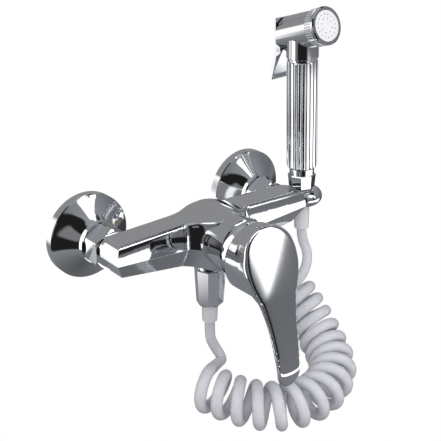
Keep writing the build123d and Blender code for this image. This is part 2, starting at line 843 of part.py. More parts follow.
with BuildPart() as lever_skirt:
    skirt_back = skirt_edge_out - 3.6
    with BuildSketch(wall_section(mid_x)):
        with BuildLine():
            Polyline((skirt_back, 0), (skirt_back, skirt_radius), (skirt_back + 7, skirt_radius + 0.2))
            ThreePointArc(
                (skirt_back + 7, skirt_radius + 0.2),
                ((skirt_back + 7 + rim_out) / 2, skirt_radius + 0.45),
                (rim_out, rim_radius - 0.5),
            )
            Polyline(
                (rim_out, rim_radius - 0.5),
                (rim_out + 14, rim_radius - 0.5),
                (rim_out + 14, 0),
                (skirt_back, 0),
            )
        make_face()
    revolve(axis=wall_axis(mid_x))
    # The slanted rear edge, and the front cut back to the plate's face
    with BuildSketch(wall_section(mid_x)):
        with BuildLine():
            Polyline(
                (body_back, -40),
                (skirt_edge_out - skirt_edge_slope * 40, -40),
                (skirt_edge_out + skirt_edge_slope * 40, 40),
                (body_back, 40),
                close=True,
            )
        make_face()
        with BuildLine():
            ThreePointArc(
                (face_top_out - 1.0, lever_top_z + 1),
                (face_middle_out - 1.0, face_middle_z),
                (face_end_out - 1.0, face_end_z),
            )
            Polyline(
                (face_end_out - 1.0, face_end_z),
                (face_end_out + 25, face_end_z),
                (face_end_out + 25, lever_top_z + 1),
                (face_top_out - 1.0, lever_top_z + 1),
            )
        make_face()
    extrude(amount=40, both=True, mode=Mode.SUBTRACT)

with BuildPart() as lever:
    add(lever_skirt.part)
    add(lever_chin.part)
    add(lever_plate.part)
    # The hollow that turns on the dome, with the boss for the spindle left standing
    with BuildSketch(wall_section(mid_x)):
        hollow = dome_radius + skirt_gap
        with BuildLine():
            start_out = skirt_edge_out - 8
            Line((start_out, lever_boss_radius), (start_out, sphere_radius_at(start_out, hollow)))
            ThreePointArc(
                (start_out, sphere_radius_at(start_out, hollow)),
                (pivot_out + 14, sphere_radius_at(pivot_out + 14, hollow)),
                (pivot_out + 19.5, sphere_radius_at(pivot_out + 19.5, hollow)),
            )
            Polyline(
                (pivot_out + 19.5, sphere_radius_at(pivot_out + 19.5, hollow)),
                (pivot_out + 19.5, lever_boss_radius),
                (start_out, lever_boss_radius),
            )
        make_face()
    revolve(axis=wall_axis(mid_x), mode=Mode.SUBTRACT)
    cut_hole(facing_out(mid_x, body_back), lever_boss_radius + 1, pivot_out + 9 - body_back)
    with BuildSketch(facing_out(mid_x, body_back)):
        Rectangle(spindle_width + 2 * slide_play, spindle_width + 2 * slide_play)
    extrude(amount=spindle_front_out + 0.5 - body_back, mode=Mode.SUBTRACT)
    screw_hole = Plane(origin=(mid_x, -screw_out, -30), x_dir=(1, 0, 0), z_dir=(0, 0, 1))
    cut_hole(screw_hole, screw_radius + slide_play, 30 - spindle_width / 2)
save(lever.part, "lever_handle")


def screw_level(height):
    """Plane square to the lever's screw, facing down its hole."""
    return Plane(origin=(mid_x, -screw_out, height), x_dir=(1, 0, 0), z_dir=(0, 0, -1))


with BuildPart() as lever_screw:
    screw_top = -spindle_width / 2
    add_tube(screw_level(screw_top), screw_radius, screw_length)
    with BuildSketch(screw_level(screw_top - screw_length + 2.5)):
        RegularPolygon(1.25, 6, major_radius=False)
    extrude(amount=2.5, mode=Mode.SUBTRACT)
save(lever_screw.part, "lever_grub_screw")

with BuildPart() as screw_plug:
    add_tube(screw_level(screw_plug_top), screw_radius, screw_plug_length)
save(screw_plug.part, "lever_screw_plug")

# Outlet: threaded nipple, washer, hose tail, faceted nut and white hose collar
outlet_xy = (mid_x, -outlet_out)


def round_at(point, height, outer, length, bore=0.0):
    add_tube(Plane(origin=(*point, height)), outer, length, bore)


with BuildPart() as outlet_nipple:
    nipple_length = outlet_nipple_top - outlet_nipple_bottom
    round_at(outlet_xy, outlet_nipple_bottom, outlet_thread_radius, nipple_length, outlet_bore)
save(outlet_nipple.part, "outlet_nipple")

outlet_washer_bottom = outlet_nipple_bottom - washer_thickness
with BuildPart() as outlet_washer:
    round_at(outlet_xy, outlet_washer_bottom, outlet_thread_radius - 0.2, washer_thickness, 4.0)
save(outlet_washer.part, "outlet_washer")

tail_flange_bottom = outlet_washer_bottom - 2.0
with BuildPart() as lower_tail:
    round_at(outlet_xy, tail_flange_bottom, tail_flange_radius, 2.0)
    barb_length = tail_flange_bottom - hose_nut_bottom + tail_barb_drop
    round_at(outlet_xy, hose_nut_bottom - tail_barb_drop, tail_barb_radius, barb_length)
    with BuildSketch(Plane.XY.offset(hose_nut_bottom - tail_barb_drop)):
        with Locations(outlet_xy):
            Circle(tail_bore)
    extrude(amount=30, mode=Mode.SUBTRACT)
save(lower_tail.part, "lower_hose_tail")


def faceted_nut(plane, bottom_radius, top_radius, height, thread, thread_depth, opening):
    """Tapered eight sided nut that stands on the plane, with its thread at the far end."""
    sections = []
    for level, radius in (
        (0.0, bottom_radius - 1.4),
        (1.6, bottom_radius),
        (height - 0.8, top_radius),
        (height, top_radius - 0.8),
    ):
        with BuildSketch(plane.offset(level)) as octagon:
            RegularPolygon(radius, 8)
        sections.append(octagon.sketch)
    loft(sections, ruled=True)
    cut_hole(plane, opening, height)
    cut_hole(plane.offset(height - thread_depth), thread, thread_depth)


with BuildPart() as lower_nut:
    faceted_nut(
        Plane(origin=(mid_x, -outlet_out, hose_nut_bottom), x_dir=(1, 0, 0), z_dir=(0, 0, 1)),
        hose_nut_bottom_radius,
        hose_nut_top_radius,
        hose_nut_top - hose_nut_bottom,
        outlet_thread_radius + thread_play,
        hose_nut_top - tail_flange_bottom,
        collar_top_radius + thread_play,
    )
save(lower_nut.part, "lower_hose_nut")

with BuildPart() as lower_collar:
    collar_top = tail_flange_bottom - 0.2
    with BuildSketch(Plane.XY.offset(collar_bottom)):
        with Locations(outlet_xy):
            Circle(collar_bottom_radius)
    with BuildSketch(Plane.XY.offset(hose_nut_bottom)):
        with Locations(outlet_xy):
            Circle(collar_top_radius)
    loft()
    round_at(outlet_xy, hose_nut_bottom, collar_top_radius, collar_top - hose_nut_bottom)
    with BuildSketch(Plane.XY.offset(hose_nut_bottom - tail_barb_drop - thread_play)):
        with Locations(outlet_xy):
            Circle(tail_barb_radius + slide_play)
    extrude(amount=30, mode=Mode.SUBTRACT)
save(lower_collar.part, "lower_hose_collar")

# Curly hose. The axis of its coil follows hand placed points, and the turns come from a loop.
coil_route = [
    (54, -73.5, -117),
    (61, -89.5, -120),
    (71.5, -104.8, -123),
    (85, -117, -125),
    (100, -125, -125),
    (118, -127, -125),
    (136, -123, -124),
    (154, -112, -122),
    (164, -97, -119),
    (169, -80, -111),
    (170.2, -63, -97.5),
    (166.3, -45.5, -80.5),
]
# Share of the axis, and the distance between turns there
coil_pitches = [(0.0, 12.4), (0.15, 14.1), (0.65, 14.4), (0.8, 12.7), (1.0, 10.6)]
quarter_turn = pi / 2


def pitch_at(share):
    for (start, low), (end, high) in zip(coil_pitches, coil_pitches[1:]):
        if share <= end:
            return low + (high - low) * (share - start) / (end - start)
    return coil_pitches[-1][1]


def coil_points(axis_edge, steps, radius, phase, pitch):
    """Points on a coil round the axis with the angle turned at each, in a frame that doesn't twist."""
    step = axis_edge.length / steps
    angle = radians(phase)
    tangent = axis_edge.tangent_at(0)
    normal = Vector(0, 0, 1).cross(tangent).normalized()
    points = []
    for i in range(steps + 1):
        share = i / steps
        tangent = axis_edge.tangent_at(share)
        normal = (normal - tangent * normal.dot(tangent)).normalized()
        if i:
            angle += 2 * pi * step / pitch(share - 0.5 / steps)
        side = normal * cos(angle) + tangent.cross(normal) * sin(angle)
        points.append((axis_edge.position_at(share) + side * radius, angle))
    return points


def coil_knots(points):
    """A point and a direction at each quarter turn of a coil."""
    knots = []
    next_angle = points[0][1]
    for i in range(1, len(points) - 1):
        if points[i][1] >= next_angle:
            knots.append((points[i][0], (points[i + 1][0] - points[i - 1][0]).normalized()))
            next_angle += quarter_turn
    return knots


def biarc(start, start_way, end, end_way):
    """Middle point and middle direction of two arcs that join start and end smoothly."""
    chord = end - start
    both = start_way + end_way
    flat = 2 * (1 - start_way.dot(end_way))
    reach = (-chord.dot(both) + sqrt(chord.dot(both) ** 2 + flat * chord.dot(chord))) / flat
    middle = (start + start_way * reach + end - end_way * reach) / 2
    way = ((end - end_way * reach) - (start + start_way * reach)).normalized()
    return middle, way


def biarc_chain(knots):
    for (start, start_way), (end, end_way) in zip(knots, knots[1:]):
        middle, middle_way = biarc(start, start_way, end, end_way)
        TangentArc(start, middle, tangent=start_way)
        TangentArc(middle, end, tangent=middle_way)


coil_axis = Spline(*coil_route, mode=Mode.PRIVATE)
turns = coil_points(coil_axis, 3000, coil_radius, coil_phase, pitch_at)
knots = coil_knots(turns)

with BuildPart() as coil:
    end_run = 2 * coil_tube_radius
    first_point, first_way = knots[0]
    last_point, last_way = knots[-1]
    with BuildLine() as coil_path:
        Line(first_point - first_way * end_run, first_point)
        biarc_chain(knots)
        Line(last_point, last_point + last_way * end_run)
    with BuildSketch(Plane(origin=first_point - first_way * end_run, z_dir=first_way)):
        Circle(coil_tube_radius)
    sweep(path=coil_path.wire())
save(coil.part, "hose_coil")
coil_start = first_point - first_way * end_run
coil_end = last_point + last_way * end_run

turn_count = (turns[-1][1] - turns[0][1]) / (2 * pi)
coil_length = coil_path.wire().length
path_points = [coil_path.wire().position_at(i / 1600) for i in range(1601)]
step_length = coil_length / 1600
apart = ceil(pi * coil_radius / step_length)
least = min(
    (path_points[i] - path_points[j]).length
    for i in range(0, 1601, 2)
    for j in range(i + apart, min(i + 6 * apart, 1601), 2)
)
print("coil turns", round(turn_count, 2), "tube length", round(coil_length, 1))
print("coil least gap to itself", round(least - 2 * coil_tube_radius, 2))
tube_volume = coil_length * pi * coil_tube_radius**2
print("coil volume", round(coil.part.volume), "section times length", round(tube_volume))


# Straight runs of the hose, as straight lines joined by tangent arcs
def hose_run(points):
    radii = []
    for before, corner, after in zip(points, points[1:], points[2:]):
        inward, outward = Vector(*corner) - Vector(*before), Vector(*after) - Vector(*corner)
        turn = radians(inward.get_angle(outward))
        radii.append(0.45 * min(inward.length, outward.length) / (sin(turn / 2) / cos(turn / 2)))
    print("hose radii", [round(radius, 1) for radius in radii])
    with BuildLine() as path:
        FilletPolyline(*points, radius=radii)
    way = (Vector(*points[1]) - Vector(*points[0])).normalized()
    with BuildSketch(Plane(origin=points[0], z_dir=way)) as tube:
        Circle(hose_radius)
    sweep(tube.sketch, path=path.wire())
    print("hose run length", round(path.wire().length, 1))


# Handset frame: local z runs up the grip, local -y is the side that sprays
handset = Plane(
    origin=(handset_x, -handset_out, 0), x_dir=(1, 0, -lean_side), z_dir=(lean_side, lean_back, 1)
)
handset_axis = Axis(handset.origin, handset.z_dir)
handset_section = Plane(origin=handset.origin, x_dir=handset.x_dir, z_dir=handset.y_dir * -1)

lower_bend = coil_start - first_way * 13
lower_run_points = [
    (mid_x, -outlet_out, collar_bottom),
    (mid_x, -outlet_out, collar_bottom - 9),
    tuple(lower_bend + Vector(7.8, 8.2, 6.2)),
    tuple(lower_bend),
    tuple(coil_start),
]
with BuildPart() as lower_run:
    hose_run(lower_run_points)
save(lower_run.part, "hose_lower_run")

upper_end = handset.origin + handset.z_dir * upper_collar_bottom
upper_run_points = [
    tuple(coil_end),
    tuple(coil_end + last_way * 9),
    (177, -54.5, -49),
    tuple(upper_end - handset.z_dir * 10),
    tuple(upper_end),
]
with BuildPart() as upper_run:
    hose_run(upper_run_points)
save(upper_run.part, "hose_upper_run")

# Holder: an open ring screwed to the end of the bar, with a funnel that the hose nut sits in
with BuildPart() as holder:
    ring_low, ring_high = ring_middle - ring_half_height, ring_middle + ring_half_height
    with BuildSketch(Plane(origin=(handset_x, -handset_out, 0), x_dir=(1, 0, 0), z_dir=(0, -1, 0))):
        with BuildLine():
            Line((ring_bore, ring_low), (ring_radius - 4.5, ring_low))
            ThreePointArc(
                (ring_radius - 4.5, ring_low), (ring_radius, ring_middle), (ring_radius - 4.5, ring_high)
            )
            Polyline(
                (ring_radius - 4.5, ring_high),
                (ring_seat_radius + 0.8, ring_high),
                (ring_bore, ring_middle + 1),
                (ring_bore, ring_low),
            )
        make_face()
    revolve(axis=Axis((handset_x, -handset_out, 0), (0, 0, 1)))
    with BuildSketch(Plane.XY.offset(ring_low - 1)):
        with Locations((handset_x, -handset_out + 15)):
            Rectangle(ring_slot, 30)
        with Locations((holder_face_x - 20 + seat_gap, -handset_out)):
            Rectangle(40, 60)
    extrude(amount=2 * ring_half_height + 2, mode=Mode.SUBTRACT)
    cut_hole(facing_out(inlet_spacing, 0), union_nut_corner + 0.5, union_nut_front + 0.3)
    cut_hole(screw_plane.offset(2), holder_screw_radius + slide_play, -10)
    head_plane = Plane(
        origin=(holder_face_x + 1.6, -handset_out, ring_middle), x_dir=(0, 1, 0), z_dir=(1, 0, 0)
    )
    cut_hole(head_plane, holder_screw_head_radius + slide_play, 8)
save(holder.part, "handset_holder")

with BuildPart() as holder_screw:
    add_tube(screw_plane.offset(-0.6), holder_screw_radius, holder_screw_depth + 0.6)
    add_tube(head_plane, holder_screw_head_radius, 1.5)
    with BuildSketch(head_plane.offset(0.5)):
        Rectangle(4.2, 0.7)
        Rectangle(0.7, 4.2)
    extrude(amount=1.0, mode=Mode.SUBTRACT)
save(holder_screw.part, "holder_screw")

# Handset, from the hose upwards
with BuildPart() as upper_collar:
    with BuildSketch(handset.offset(upper_collar_bottom)):
        Circle(collar_bottom_radius)
    with BuildSketch(handset.offset(upper_collar_bottom + upper_collar_taper)):
        Circle(collar_top_radius)
    loft()
    collar_inside = grip_nut_bottom + 4.3
    collar_straight = upper_collar_bottom + upper_collar_taper
    add_tube(handset.offset(collar_straight), collar_top_radius, collar_inside - collar_straight)
    cut_hole(handset.offset(collar_straight - 1), tail_barb_radius + slide_play, 40)
save(upper_collar.part, "upper_hose_collar")

with BuildPart() as upper_tail:
    add_tube(handset.offset(collar_inside + 0.2), tail_flange_radius, 1.8)
    barb_bottom = collar_straight - 1 + seat_gap
    add_tube(handset.offset(barb_bottom), tail_barb_radius, collar_inside + seat_gap - barb_bottom)
    cut_hole(handset.offset(barb_bottom), tail_bore, 60)
save(upper_tail.part, "upper_hose_tail")

grip_washer_bottom = collar_inside + 2.0
with BuildPart() as grip_washer:
    add_tube(handset.offset(grip_washer_bottom), outlet_thread_radius - 0.2, 1.5, 4.0)
save(grip_washer.part, "handset_washer")

with BuildPart() as grip_nut:
    faceted_nut(
        handset.offset(grip_nut_bottom),
        grip_nut_bottom_radius,
        grip_nut_top_radius,
        grip_nut_top - grip_nut_bottom,
        outlet_thread_radius + thread_play,
        grip_nut_top - collar_inside,
        collar_top_radius + thread_play,
    )
save(grip_nut.part, "handset_hose_nut")

inlet_thread_bottom = grip_washer_bottom + 1.5
with BuildPart() as handset_inlet:
    thread_length = grip_nut_top - inlet_thread_bottom
    add_tube(handset.offset(inlet_thread_bottom), outlet_thread_radius, thread_length)
    add_tube(handset.offset(grip_nut_top + 0.2), inlet_neck_radius, grip_bottom - grip_nut_top - 0.4)
    add_tube(handset.offset(grip_nut_top), outlet_thread_radius, 0.4)
    add_tube(handset.offset(grip_bottom - 0.4), 6.4, 6.4)
    cut_hole(handset.offset(inlet_thread_bottom), 4.5, 40)
save(handset_inlet.part, "handset_inlet")

grip_core_top = shoulder_bottom + 8.0
with BuildPart() as grip_core:
    core_bottom = grip_bottom + seat_gap
    core_length = grip_core_top - core_bottom
    add_tube(handset.offset(core_bottom), grip_core_radius, core_length, grip_core_bore)
    cut_hole(handset.offset(grip_bottom), 6.45, 6.4)
save(grip_core.part, "grip_water_tube")

with BuildPart() as grip:
    with BuildSketch(handset.offset(grip_bottom)):
        Circle(grip_radius)
        with PolarLocations(grip_radius + 0.35, flute_count):
            Circle(flute_radius, mode=Mode.SUBTRACT)
    extrude(amount=grip_top - grip_bottom)
    with BuildSketch(handset_section):
        with BuildLine():
            Polyline(
                (0, grip_bottom),
                (grip_radius - 1.4, grip_bottom),
                (grip_radius, grip_bottom + 2.2),
                (grip_radius, grip_top - 0.8),
                (grip_radius - 0.6, grip_top),
                (0, grip_top),
                close=True,
            )
        make_face()
    revolve(axis=handset_axis, mode=Mode.INTERSECT)
    cut_hole(handset.offset(grip_bottom), grip_core_radius + slide_play, 100)
save(grip.part, "fluted_grip")

# Spray head: an elbow whose barrel points forward and a little up, with the valve inside
tilt = radians(spray_tilt)
spray_dir = handset.y_dir * -cos(tilt) + handset.z_dir * sin(tilt)
spray_centre = handset.origin + handset.z_dir * spray_height
spray = Plane(origin=spray_centre, x_dir=handset.x_dir, z_dir=spray_dir)
spray_axis = Axis(spray_centre, spray_dir)
spray_section = Plane(origin=spray_centre, x_dir=spray_dir, z_dir=handset.x_dir)


def handset_side(x):
    """Plane across the handset at x: local x points to its back, local y up its axis."""
    return Plane(origin=handset.origin + handset.x_dir * x, x_dir=handset.y_dir, z_dir=handset.x_dir)


with BuildPart() as head:
    with BuildSketch(spray_section):
        with BuildLine():
            Polyline(
                (-2 * head_back, 0),
                (-2 * head_back, head_radius),
                (head_front, head_radius),
                (head_front, spigot_radius),
                (spigot_front, spigot_radius),
                (spigot_front, 0),
                close=True,
            )
        make_face()
    revolve(axis=spray_axis)
    # The upright back of the elbow, rounded at its top, and the pocket under it for the trigger
    with BuildSketch(handset_side(-30)):
        with BuildLine():
            Polyline(
                (-60, trigger_end),
                (0, trigger_end),
                (0, head_back_floor),
                (head_back, head_back_floor),
                (head_back, spray_height + head_radius - head_corner_round),
            )
            RadiusArc(
                (head_back, spray_height + head_radius - head_corner_round),
                (head_back - head_corner_round, spray_height + head_radius),
                -head_corner_round,
            )
            Polyline(
                (head_back - head_corner_round, spray_height + head_radius),
                (-60, spray_height + head_radius + 20),
                (-60, trigger_end),
            )
        make_face()
    extrude(amount=60, mode=Mode.INTERSECT)
    with BuildSketch(handset_section):
        with BuildLine():
            Polyline(
                (0, shoulder_bottom),
                (shoulder_radius, shoulder_bottom),
                (shoulder_radius, head_neck_bottom),
                (head_neck_radius - 0.8, head_neck_bottom),
                (head_neck_radius, head_neck_bottom + 0.8),
                (head_neck_radius, spray_height),
                (0, spray_height),
                close=True,
            )
        make_face()
    revolve(axis=handset_axis)
    with BuildSketch(handset_side(-trigger_lug_width / 2)):
        with Locations((trigger_pivot_back, trigger_pivot_height)):
            Circle(trigger_lug_radius)
        with Locations((trigger_pivot_back - 3, trigger_pivot_height)):
            Rectangle(6, 2 * trigger_lug_radius)
    extrude(amount=trigger_lug_width)
    cut_hole(spray.offset(-9), chamber_radius, 40)
    cut_hole(spray.offset(-30), stem_radius + slide_play, 40)
    cut_hole(handset.offset(shoulder_bottom - 1), grip_core_bore, spray_height - shoulder_bottom)
    core_hole = grip_core_top - shoulder_bottom + 1.2
    cut_hole(handset.offset(shoulder_bottom - 1), grip_core_radius + slide_play, core_hole)
    with BuildSketch(handset_side(-30)):
        with Locations((trigger_pivot_back, trigger_pivot_height)):
            Circle(trigger_pin_radius + slide_play)
    extrude(amount=60, mode=Mode.SUBTRACT)
save(head.part, "spray_head")

with BuildPart() as knurled_collar:
    with BuildSketch(spray_section):
        with BuildLine():
            Polyline(
                (head_front + 0.1, spigot_radius + thread_play),
                (head_front + 0.1, collar_radius - 0.6),
                (head_front + 0.7, collar_radius),
                (knurl_front, collar_radius),
                (knurl_front + 0.3, collar_radius - 0.7),
                (knurl_front + 0.8, collar_radius - 0.7),
                (knurl_front + 1.1, collar_radius + 0.2),
                (collar_rim_front - 0.8, collar_radius + 0.2),
                (collar_rim_front, collar_radius - 0.8),
                (collar_rim_front, spray_plate_radius - 0.8),
                (collar_rim_front - 1.0, spray_plate_radius - 0.8),
                (collar_rim_front - 1.0, spray_plate_radius + 0.1),
                (spigot_front, spray_plate_radius + 0.1),
                (spigot_front, spigot_radius + thread_play),
                close=True,
            )
        make_face()
    revolve(axis=spray_axis)
    with BuildSketch(spray.offset(head_front)):
        with PolarLocations(collar_radius + 0.1, knurl_count):
            Circle(0.45)
    extrude(amount=knurl_front - head_front, mode=Mode.SUBTRACT)
save(knurled_collar.part, "knurled_collar")

plate_back = collar_rim_front - 1.0 - spray_plate_thickness
with BuildPart() as spray_plate:
    add_tube(spray.offset(plate_back), spray_plate_radius, spray_plate_thickness)
    add_tube(spray.offset(plate_back + spray_plate_thickness), spray_plate_radius - 0.9, 0.5)
    with BuildSketch(spray.offset(plate_back)):
        with PolarLocations(outer_hole_ring, outer_hole_count):
            Circle(spray_hole_radius)
        with PolarLocations(inner_hole_ring, inner_hole_count, start_angle=22.5):
            Circle(spray_hole_radius)
    extrude(amount=spray_plate_thickness + 0.5, mode=Mode.SUBTRACT)
save(spray_plate.part, "spray_plate")

with BuildPart() as diffuser:
    add_tube(spray.offset(spigot_front), spray_plate_radius - 0.1, plate_back - spigot_front, 10.4)
    add_tube(spray.offset(spigot_front), 10.4, 0.8)
    with BuildSketch(spray.offset(spigot_front)):
        with PolarLocations(5.5, 8):
            Circle(1.4)
    extrude(amount=1, mode=Mode.SUBTRACT)
save(diffuser.part, "spray_diffuser")

with BuildPart() as valve_seat:
    add_tube(spray.offset(valve_front), chamber_radius - slide_play, seat_thickness, 3.6)
save(valve_seat.part, "valve_seat")

stem_ball_back = trigger_tail_back + trigger_wall + stem_ball_radius + thread_play
stem_tail = -stem_ball_back / cos(tilt)
with BuildPart() as valve_stem:
    add_tube(spray.offset(stem_tail), stem_radius, valve_front - 2.2 - stem_tail)
    add_tube(spray.offset(valve_front - 4.0), valve_radius - 1.0, 2.0)
    with BuildSketch(spray_section):
        with BuildLine():
            Line((stem_tail - stem_ball_radius, 0), (stem_tail + stem_ball_radius, 0))
            ThreePointArc(
                (stem_tail + stem_ball_radius, 0),
                (stem_tail, stem_ball_radius),
                (stem_tail - stem_ball_radius, 0),
            )
        make_face()
    revolve(axis=spray_axis)
save(valve_stem.part, "valve_stem")

with BuildPart() as valve_rubber:
    add_tube(spray.offset(valve_front - 2.0), valve_radius, 1.8)
    cut_hole(spray.offset(valve_front - 2.2), stem_radius + slide_play, 0.5)
save(valve_rubber.part, "valve_rubber")

spring_front = valve_front - 4.0 - valve_spring_wire - slide_play
spring_back = valve_travel - 9.0 + valve_spring_wire + 0.3
spring_axis = Line(
    spray_centre + spray_dir * spring_back, spray_centre + spray_dir * spring_front, mode=Mode.PRIVATE
)
spring_knots = coil_knots(
    coil_points(spring_axis, 600, valve_spring_radius, 0, lambda share: valve_spring_pitch)
)
with BuildPart() as valve_spring:
    with BuildLine() as spring_path:
        biarc_chain(spring_knots)
    with BuildSketch(Plane(origin=spring_knots[0][0], z_dir=spring_knots[0][1])):
        Circle(valve_spring_wire)
    sweep(path=spring_path.wire())
save(valve_spring.part, "valve_spring")

# Trigger: a pressed plate behind the head that rocks on a pin through a lug on the neck
with BuildPart() as trigger_pin:
    with BuildSketch(handset_side(-trigger_half_width)):
        with Locations((trigger_pivot_back, trigger_pivot_height)):
            Circle(trigger_pin_radius)
    extrude(amount=2 * trigger_half_width)
save(trigger_pin.part, "trigger_pin")

with BuildPart() as trigger:
    tail_outer = trigger_tail_back + trigger_wall
    end_outer = trigger_end_back + trigger_wall
    ear = trigger_pin_radius + 1.3
    with BuildSketch(handset_side(-trigger_half_width)):
        with BuildLine():
            Polyline(
                (trigger_tail_back, trigger_tail_top),
                (tail_outer, trigger_tail_top),
                (tail_outer, trigger_bend),
                (end_outer, trigger_end),
                (end_outer - trigger_flange, trigger_end - 0.6),
                (trigger_tail_back - 0.6, trigger_pivot_height - 5),
                (trigger_pivot_back - ear, trigger_pivot_height - ear),
                (trigger_pivot_back - ear, trigger_pivot_height + ear),
                (trigger_tail_back, trigger_pivot_height + ear + 2),
                close=True,
            )
        make_face()
    extrude(amount=2 * trigger_half_width)
    with BuildSketch(handset_side(trigger_wall - trigger_half_width)):
        with BuildLine():
            Polyline(
                (0, trigger_end + trigger_wall),
                (trigger_end_back - 0.3, trigger_end + trigger_wall),
                (trigger_tail_back, trigger_bend),
                (trigger_tail_back, trigger_tail_top + 1),
                (0, trigger_tail_top + 1),
                close=True,
            )
        make_face()
    extrude(amount=2 * (trigger_half_width - trigger_wall), mode=Mode.SUBTRACT)
    with BuildSketch(handset_side(-30)):
        with Locations((trigger_pivot_back, trigger_pivot_height)):
            Circle(trigger_pin_radius + 0.03)
    extrude(amount=60, mode=Mode.SUBTRACT)
    cut_hole(spray.offset(-40), trigger_hole_radius, 40)
save(trigger.part, "trigger")
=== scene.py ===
from math import cos, pi, radians, sin

import bpy
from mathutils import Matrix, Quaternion, Vector


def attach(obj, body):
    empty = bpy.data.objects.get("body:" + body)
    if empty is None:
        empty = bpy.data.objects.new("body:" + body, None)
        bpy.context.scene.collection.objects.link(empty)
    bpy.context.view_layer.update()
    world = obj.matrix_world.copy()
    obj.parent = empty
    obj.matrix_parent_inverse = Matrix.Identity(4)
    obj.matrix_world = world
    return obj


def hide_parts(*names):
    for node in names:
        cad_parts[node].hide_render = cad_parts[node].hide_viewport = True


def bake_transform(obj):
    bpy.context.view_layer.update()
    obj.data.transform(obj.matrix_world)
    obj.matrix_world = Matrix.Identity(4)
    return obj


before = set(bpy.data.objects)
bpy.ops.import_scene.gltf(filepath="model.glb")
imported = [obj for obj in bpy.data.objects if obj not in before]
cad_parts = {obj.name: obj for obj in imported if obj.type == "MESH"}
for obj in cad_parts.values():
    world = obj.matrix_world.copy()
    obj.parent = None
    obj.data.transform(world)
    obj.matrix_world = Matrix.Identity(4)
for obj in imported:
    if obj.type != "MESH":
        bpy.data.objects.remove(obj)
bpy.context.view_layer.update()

mm = 0.001

# Camera. It stands to the left of the mixer and a little above it, about 0.8 m away,
# with a long lens and a half degree of roll.
picture_width_px = 441
focal_length_px = 990.8
sensor_width_mm = 36.0
camera_azimuth = radians(-39.124)
camera_elevation = radians(23.740)
camera_roll = radians(0.515)
camera_distance = 810.3 * mm
camera_aim = Vector((128.09, 0, -24.70)) * mm
camera_back = Vector(
    (
        sin(camera_azimuth) * cos(camera_elevation),
        -cos(camera_azimuth) * cos(camera_elevation),
        sin(camera_elevation),
    )
)
bpy.ops.object.camera_add(location=camera_aim + camera_back * camera_distance)
camera = bpy.context.object
camera.rotation_mode = "QUATERNION"
camera.rotation_quaternion = (-camera_back).to_track_quat("-Z", "Y") @ Quaternion((0, 0, 1), camera_roll)
camera.data.sensor_width = sensor_width_mm
camera.data.lens = focal_length_px / picture_width_px * sensor_width_mm
camera.data.clip_start = 0.05
bpy.context.scene.camera = camera

# Curly hose. A milky polyurethane tube, wound warm on a rod so that it springs back into its
# turns. Its two straight ends are pushed over the barbs of the hose tails, and it hangs
# between the outlet under the body and the hand spray in its holder.
outlet_x, outlet_y = 75.0 * mm, -53.3 * mm
lower_collar_bottom = -74.8 * mm
grip_base = Vector((173.3, -47.0, 0)) * mm
grip_way = Vector((-0.0257, 0.0242, 1)).normalized()
upper_collar_bottom = grip_base + grip_way * -26.0 * mm
hose_radius = 4.0 * mm
curl_tube_radius = 4.6 * mm
curl_radius = 14.3 * mm
curl_phase = radians(60.0)
curl_turns = 16
points_per_turn = 16
curl_route = [
    Vector(point) * mm
    for point in (
        (54, -73.5, -117),
        (61, -89.5, -120),
        (71.5, -104.8, -123),
        (85, -117, -125),
        (100, -125, -125),
        (118, -127, -125),
        (136, -123, -124),
        (154, -112, -122),
        (164, -97, -119),
        (169, -80, -111),
        (170.2, -63, -97.5),
        (166.3, -45.5, -80.5),
    )
]
# The way from turn to turn, closer where the curl hangs from its ends: share of the route, pitch in mm
curl_pitches = [(0.0, 12.4), (0.15, 14.1), (0.65, 14.4), (0.8, 12.7), (1.0, 10.6)]


def nurbs_curve(name, points, steps, radii=None):
    """A smooth open curve that the points control, with its order set after they are added."""
    curve = bpy.data.curves.new(name, "CURVE")
    curve.dimensions = "3D"
    curve.resolution_u = steps
    spline = curve.splines.new("NURBS")
    spline.points.add(len(points) - 1)
    for i, point in enumerate(points):
        spline.points[i].co = (*point, 1)
        if radii:
            spline.points[i].radius = radii[i]
    spline.order_u = 3
    spline.use_endpoint_u = True
    return curve


def points_along(curve):
    """Points read from a curve's own smooth line, each of them once."""
    holder = bpy.data.objects.new("line_reader", curve)
    mesh = bpy.data.meshes.new_from_object(holder)
    points = []
    for vertex in mesh.vertices:
        if not points or (vertex.co - points[-1]).length > 0.02 * mm:
            points.append(vertex.co.copy())
    bpy.data.objects.remove(holder)
    bpy.data.meshes.remove(mesh)
    return points


def pitch_at(share):
    """The curl's pitch at a share of its route."""
    for (start, low), (end, high) in zip(curl_pitches, curl_pitches[1:]):
        if share <= end:
            return low + (high - low) * (share - start) / (end - start)
    return curl_pitches[-1][1]


def curl_points():
    """Points of the curl round its route, in a frame that is carried along without twisting."""
    line = points_along(nurbs_curve("curl_axis", curl_route, 60))
    lengths = [0.0]
    for before, after in zip(line, line[1:]):
        lengths.append(lengths[-1] + (after - before).length)
    turned = [0.0]
    for i in range(1, len(line)):
        share = (lengths[i] + lengths[i - 1]) / 2 / lengths[-1]
        turned.append(turned[-1] + (lengths[i] - lengths[i - 1]) / pitch_at(share))
    tangent = (line[1] - line[0]).normalized()
    normal = Vector((0, 0, 1)).cross(tangent).normalized()
    control_radius = curl_radius / cos(pi / points_per_turn)
    last = curl_turns * points_per_turn
    made = []
    for i in range(1, len(line)):
        tangent = (line[i] - line[i - 1]).normalized()
        normal = (normal - tangent * normal.dot(tangent)).normalized()
        low, high = turned[i - 1] / turned[-1], turned[i] / turned[-1]
        while len(made) <= last and high >= len(made) / last:
            centre = line[i - 1].lerp(line[i], (len(made) / last - low) / (high - low))
            angle = curl_phase + 2 * pi * len(made) / points_per_turn
            side = normal * cos(angle) + tangent.cross(normal) * sin(angle)
            made.append(centre + side * control_radius)
    return made


